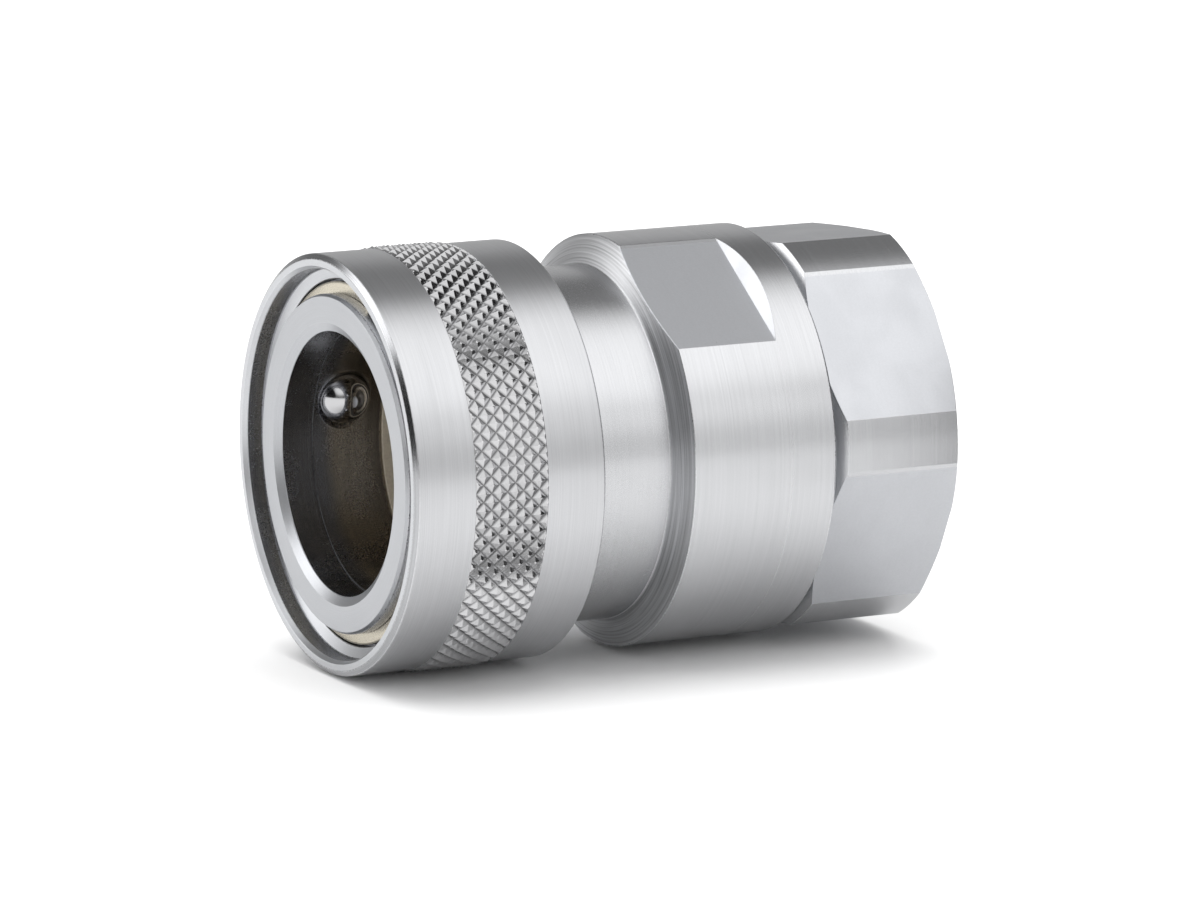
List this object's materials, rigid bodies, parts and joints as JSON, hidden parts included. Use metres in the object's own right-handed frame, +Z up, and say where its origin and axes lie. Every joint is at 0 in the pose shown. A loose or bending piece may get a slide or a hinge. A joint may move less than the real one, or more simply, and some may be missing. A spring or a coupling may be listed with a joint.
{
  "type": "quick coupling",
  "caption": "Ball-lock quick coupling socket: knurled sprung sleeve over a ported nose, spring-loaded valve, collar with wrench flats and a hexagonal threaded port.",
  "frame": {"origin": "on the axis, in the plane of the nose face that the plug's shoulder meets", "axes": "+X along the axis from the mouth to the threaded port, +Z up with the coupling lying on its side"},
  "size_m": [0.0785, 0.0548, 0.0548],
  "materials": {
    "steel": "turned and brushed",
    "ring_steel": "spring steel with a warm tint",
    "ball_steel": "polished",
    "spring_steel": "drawn wire",
    "seal_rubber": "matt",
    "backup_plastic": "matt",
    "bush_metal": "turned"
  },
  "bodies": {
    "socket": {"body": "steel", "stop_ring": "ring_steel", "bore_seal": "seal_rubber", "seal_backup": "backup_plastic", "sleeve_spring": "spring_steel", "valve_guide": "steel", "guide_bush": "bush_metal", "valve_spring": "spring_steel", "spring_seat": "steel", "adapter": "steel", "adapter_seal": "seal_rubber"},
    "washer": {"thrust_washer": "steel"},
    "sleeve": {"sleeve": "steel"},
    "valve": {"valve_cap": "steel", "valve_head": "steel", "valve_seal": "seal_rubber", "valve_stem": "steel"},
    "ball_1": {"lock_ball_1": "ball_steel"},
    "ball_2": {"lock_ball_2": "ball_steel"},
    "ball_3": {"lock_ball_3": "ball_steel"}
  },
  "joints": [
    {"name": "sleeve_slide", "type": "slide", "parent": "socket", "child": "washer", "axis": [1, 0, 0], "range_m": [0, 0.0102], "stiffness_N_per_m": 4000, "springref_m": -0.006, "deforming": ["sleeve_spring"]},
    {"name": "sleeve_spin", "type": "hinge", "parent": "washer", "child": "sleeve", "pos_m": [0, 0, 0], "axis": [1, 0, 0], "continuous": true},
    {"name": "valve_slide", "type": "slide", "parent": "socket", "child": "valve", "axis": [1, 0, 0], "range_m": [0, 0.006], "stiffness_N_per_m": 3000, "springref_m": -0.004, "deforming": ["valve_spring"]},
    {"name": "ball_1_lift", "type": "slide", "parent": "socket", "child": "ball_1", "axis": [0, -0.7443, 0.6678], "range_m": [0, 0.00291]},
    {"name": "ball_2_lift", "type": "slide", "parent": "socket", "child": "ball_2", "axis": [0, -0.2062, -0.9785], "range_m": [0, 0.00291]},
    {"name": "ball_3_lift", "type": "slide", "parent": "socket", "child": "ball_3", "axis": [0, 0.9505, 0.3107], "range_m": [0, 0.00291]}
  ],
  "couplings": [
    {"joint": "ball_1_lift", "follows": "sleeve_slide", "ratio": 0.28569},
    {"joint": "ball_2_lift", "follows": "sleeve_slide", "ratio": 0.28569},
    {"joint": "ball_3_lift", "follows": "sleeve_slide", "ratio": 0.28569}
  ]
}
